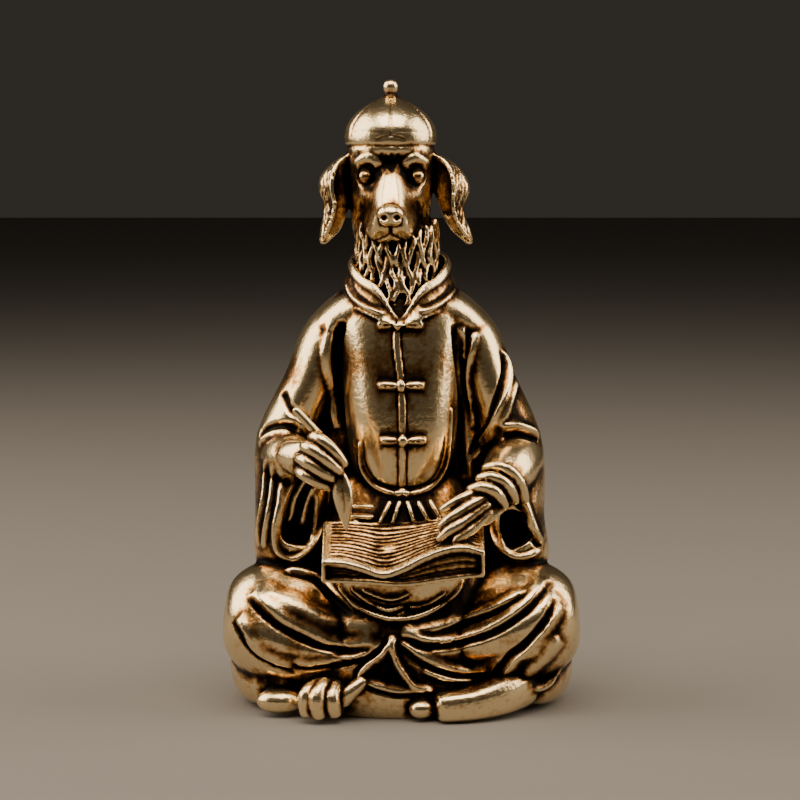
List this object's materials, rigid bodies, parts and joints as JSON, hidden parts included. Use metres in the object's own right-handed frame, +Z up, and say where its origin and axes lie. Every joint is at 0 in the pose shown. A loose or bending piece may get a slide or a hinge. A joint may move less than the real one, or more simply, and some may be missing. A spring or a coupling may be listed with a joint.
{
  "type": "brass dog figure",
  "caption": "Small cast brass figure of a dog in a skullcap and buttoned jacket, sitting cross-legged with a writing brush in one hand and the other on an open book.",
  "frame": {"origin": "centre of the bounding box in plan, on the underside the figure rests on", "axes": "+Z up from the underside to the knob of the cap, the figure faces -Y, +X is towards its own left hand"},
  "size_m": [0.028, 0.0202, 0.049],
  "materials": {
    "antique_brass": "cast brass, dark brown patina in the recesses and polished bright on the high points"
  },
  "bodies": {
    "root": {"dog_figure": "antique_brass"}
  },
  "joints": []
}
